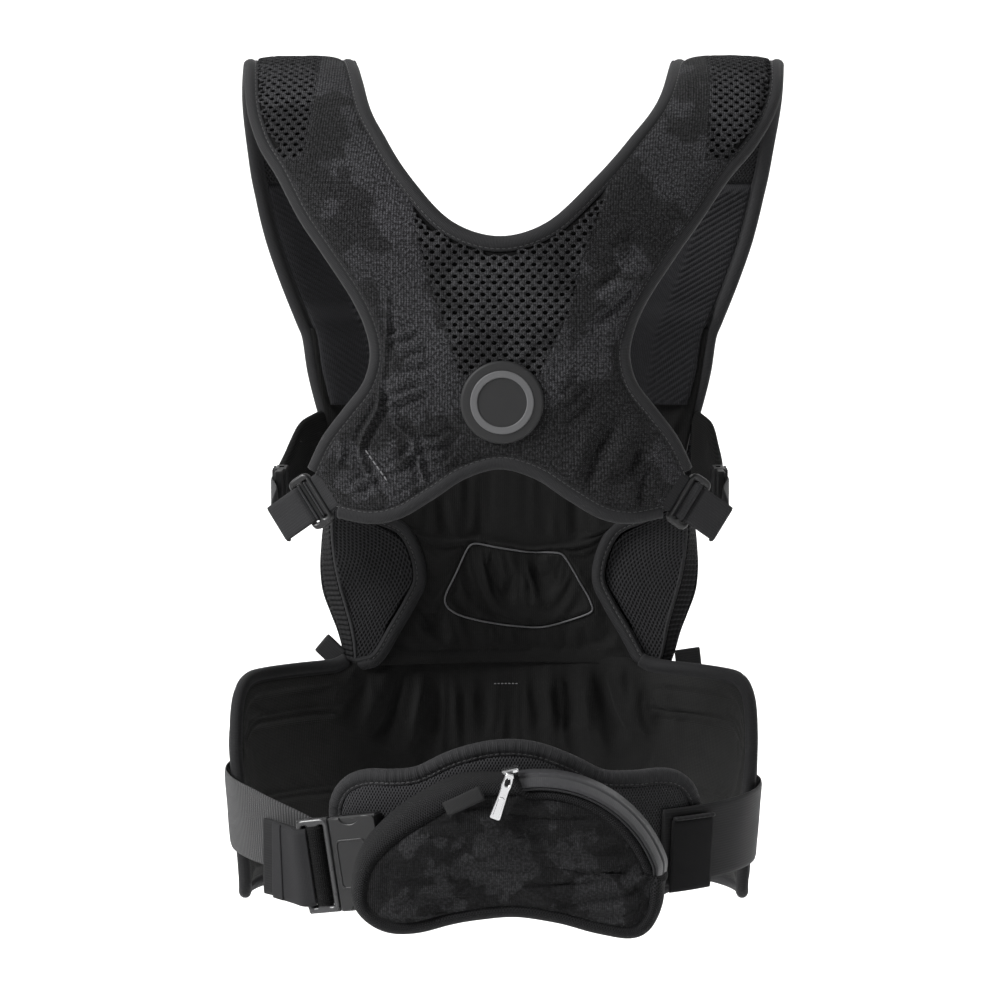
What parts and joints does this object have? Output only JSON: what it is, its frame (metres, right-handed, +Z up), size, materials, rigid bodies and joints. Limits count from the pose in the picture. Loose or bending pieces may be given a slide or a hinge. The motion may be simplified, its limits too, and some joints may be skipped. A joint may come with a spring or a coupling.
{
  "type": "soft baby carrier",
  "caption": "Soft padded baby carrier with a back yoke, shoulder straps, baby panel, waist belt, lumbar pad and zip pouch, shaped as worn.",
  "frame": {"origin": "centre of the waist strap's loop, level with the webbing, where the wearer's waist is", "axes": "+Z up, +Y the way the wearer faces (the baby panel's side), +X the wearer's right"},
  "size_m": [0.3532, 0.2926, 0.5301],
  "materials": {
    "knit_face": "matte knit with a soft tonal pattern",
    "air_mesh": "open 3-D mesh",
    "ribbed_spacer": "ribbed spacer knit",
    "smooth_lining": "fine smooth weave",
    "yoke_lining": "fine mesh lining",
    "binding_tape": "folded knit tape",
    "foam_core": "soft foam",
    "webbing": "smooth polyester webbing",
    "elastic_webbing": "ribbed elastic",
    "buckle_plastic": "moulded satin plastic",
    "badge_rubber": "matte rubber",
    "coated_zip_tape": "glossy coated tape",
    "zip_metal": "polished metal",
    "satin_tape": "satin tape"
  },
  "bodies": {
    "harness": {"shoulder_strap_left_face": "knit_face", "shoulder_strap_left_pad": "ribbed_spacer", "shoulder_strap_right_face": "knit_face", "shoulder_strap_right_pad": "ribbed_spacer", "strap_binding_left": "binding_tape", "strap_binding_right": "binding_tape", "front_neck_binding": "binding_tape", "panel_lining": "smooth_lining", "panel_shell": "knit_face", "mesh_gusset_left": "air_mesh", "mesh_gusset_right": "air_mesh", "leg_elastic_left": "elastic_webbing", "leg_elastic_right": "elastic_webbing", "side_wing_left": "smooth_lining", "side_wing_right": "smooth_lining", "belt_face": "knit_face", "belt_foam": "foam_core", "belt_lining": "smooth_lining", "belt_binding": "binding_tape", "lumbar_face": "air_mesh", "lumbar_pad": "smooth_lining", "lumbar_binding": "binding_tape", "waist_elastic_left": "elastic_webbing", "waist_webbing_left": "webbing", "waist_webbing_right": "webbing", "waist_tail_right": "webbing", "waist_socket": "buckle_plastic", "side_left_socket": "buckle_plastic", "side_right_socket": "buckle_plastic", "pouch_back": "smooth_lining", "pouch_face": "knit_face", "pouch_gusset": "air_mesh", "pouch_tab": "satin_tape", "zip_tape": "coated_zip_tape"},
    "yoke": {"yoke_face": "knit_face", "yoke_foam": "foam_core", "yoke_lining": "yoke_lining", "yoke_neck_binding": "binding_tape", "yoke_lower_binding": "binding_tape", "yoke_armhole_binding_left": "binding_tape", "yoke_armhole_binding_right": "binding_tape", "badge_disc": "badge_rubber", "ladder_lock_left": "buckle_plastic", "ladder_lock_right": "buckle_plastic", "side_webbing_left": "webbing", "side_webbing_right": "webbing", "side_left_plug": "buckle_plastic", "side_right_plug": "buckle_plastic"},
    "waist_plug": {"waist_plug": "buckle_plastic", "waist_tail_left": "webbing"},
    "waist_prong_upper": {"waist_prong_upper": "buckle_plastic"},
    "waist_prong_lower": {"waist_prong_lower": "buckle_plastic"},
    "side_left_prong_upper": {"side_left_prong_upper": "buckle_plastic"},
    "side_left_prong_lower": {"side_left_prong_lower": "buckle_plastic"},
    "side_right_prong_upper": {"side_right_prong_upper": "buckle_plastic"},
    "side_right_prong_lower": {"side_right_prong_lower": "buckle_plastic"},
    "zip_slider": {"zip_slider": "zip_metal"},
    "zip_pull": {"zip_pull": "zip_metal"},
    "seat_tab_left": {"seat_tab_left": "webbing"},
    "seat_tab_right": {"seat_tab_right": "webbing"}
  },
  "joints": [
    {"name": "yoke_lift", "type": "hinge", "parent": "harness", "child": "yoke", "pos_m": [0, -0.006, 0.4795], "axis": [-1, 0, 0], "range_deg": [0, 25], "deforming": ["side_left_prong_upper", "side_left_prong_lower", "side_right_prong_upper", "side_right_prong_lower"]},
    {"name": "waist_release", "type": "slide", "parent": "harness", "child": "waist_plug", "axis": [-0.9281, 0.3378, -0.1564], "range_m": [0, 0.026], "deforming": ["waist_webbing_left", "waist_prong_upper", "waist_prong_lower"]},
    {"name": "waist_prong_upper_press", "type": "hinge", "parent": "waist_plug", "child": "waist_prong_upper", "pos_m": [-0.10141, -0.10772, 0.01408], "axis": [0.342, 0.9397, 0], "range_deg": [0, 8], "stiffness_Nm_per_rad": 0.03},
    {"name": "waist_prong_lower_press", "type": "hinge", "parent": "waist_plug", "child": "waist_prong_lower", "pos_m": [-0.09473, -0.11015, -0.03076], "axis": [-0.342, -0.9397, 0], "range_deg": [0, 8], "stiffness_Nm_per_rad": 0.03},
    {"name": "side_left_prong_upper_press", "type": "hinge", "parent": "yoke", "child": "side_left_prong_upper", "pos_m": [-0.1385, 0.006, 0.2152], "axis": [-1, 0, 0], "range_deg": [0, 8], "stiffness_Nm_per_rad": 0.01},
    {"name": "side_left_prong_lower_press", "type": "hinge", "parent": "yoke", "child": "side_left_prong_lower", "pos_m": [-0.1385, 0.006, 0.1968], "axis": [1, 0, 0], "range_deg": [0, 8], "stiffness_Nm_per_rad": 0.01},
    {"name": "side_right_prong_upper_press", "type": "hinge", "parent": "yoke", "child": "side_right_prong_upper", "pos_m": [0.1385, 0.006, 0.2152], "axis": [-1, 0, 0], "range_deg": [0, 8], "stiffness_Nm_per_rad": 0.01},
    {"name": "side_right_prong_lower_press", "type": "hinge", "parent": "yoke", "child": "side_right_prong_lower", "pos_m": [0.1385, 0.006, 0.1968], "axis": [1, 0, 0], "range_deg": [0, 8], "stiffness_Nm_per_rad": 0.01},
    {"name": "zip_run", "type": "hinge", "parent": "harness", "child": "zip_slider", "pos_m": [0.0239, -0.149, -0.0255], "axis": [0, 1, 0], "range_deg": [0, 80]},
    {"name": "zip_pull_swing", "type": "hinge", "parent": "zip_slider", "child": "zip_pull", "pos_m": [0.00559, -0.1672, 0.05555], "axis": [-0.944, 0, 0.33], "range_deg": [0, 150]},
    {"name": "seat_tab_right_flex", "type": "hinge", "parent": "harness", "child": "seat_tab_right", "pos_m": [0.11524, 0.09111, 0.08625], "axis": [0, 0, 1], "range_deg": [-30, 30], "stiffness_Nm_per_rad": 0.002},
    {"name": "seat_tab_left_flex", "type": "hinge", "parent": "harness", "child": "seat_tab_left", "pos_m": [-0.10528, 0.09113, 0.08728], "axis": [0, 0, 1], "range_deg": [-30, 30], "stiffness_Nm_per_rad": 0.002}
  ],
  "couplings": [
    {"joint": "waist_prong_lower_press", "follows": "waist_prong_upper_press", "ratio": 1},
    {"joint": "side_left_prong_lower_press", "follows": "side_left_prong_upper_press", "ratio": 1},
    {"joint": "side_right_prong_lower_press", "follows": "side_right_prong_upper_press", "ratio": 1}
  ]
}
